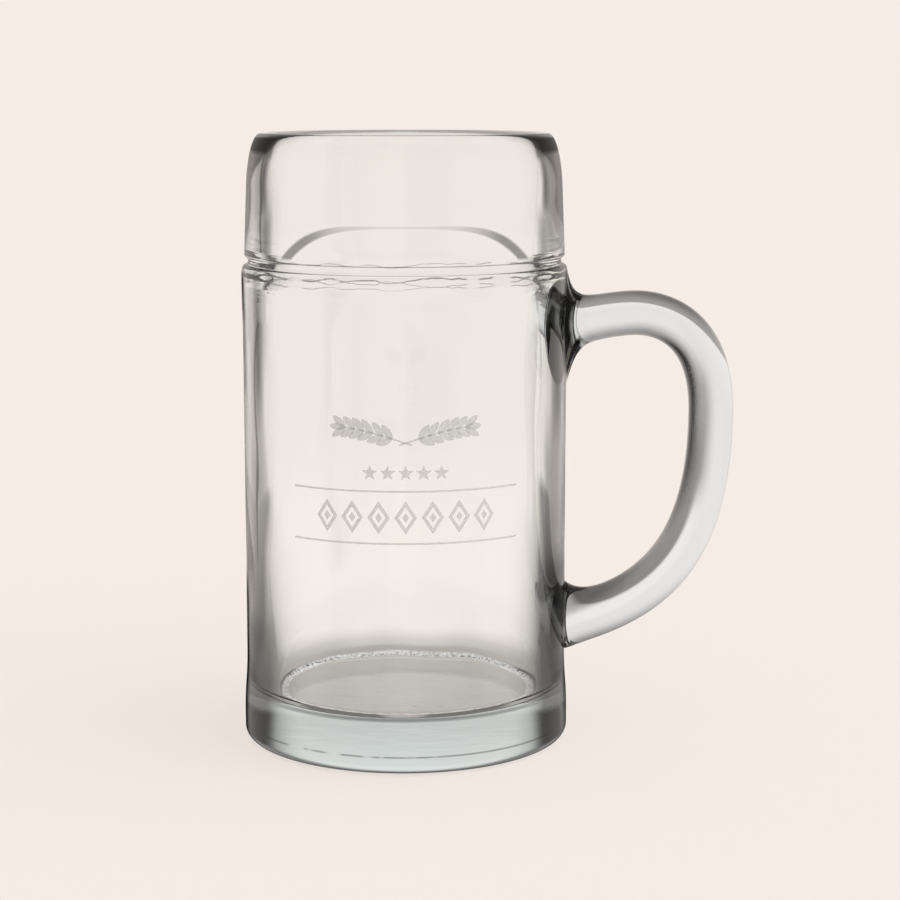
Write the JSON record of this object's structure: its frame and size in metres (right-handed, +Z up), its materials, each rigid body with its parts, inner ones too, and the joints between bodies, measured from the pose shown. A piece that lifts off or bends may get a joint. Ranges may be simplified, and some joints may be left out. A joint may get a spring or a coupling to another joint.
{
  "type": "beer mug",
  "caption": "Thick-walled clear glass beer mug with a heavy foot, a drawn-in drinking collar above a fine groove, and a solid glass loop handle joined at spread roots.",
  "frame": {"origin": "middle of the standing face, on the vessel's axis", "axes": "+Z up along the vessel's axis, +X towards the handle, -Y the front with the etched lines"},
  "size_m": [0.1303, 0.0866, 0.1604],
  "materials": {
    "clear_glass": "clear fire-polished glass, faintly blue-green where it is thick, with lightly frosted etched lines on the front"
  },
  "bodies": {
    "root": {"vessel": "clear_glass", "handle": "clear_glass"}
  },
  "joints": []
}
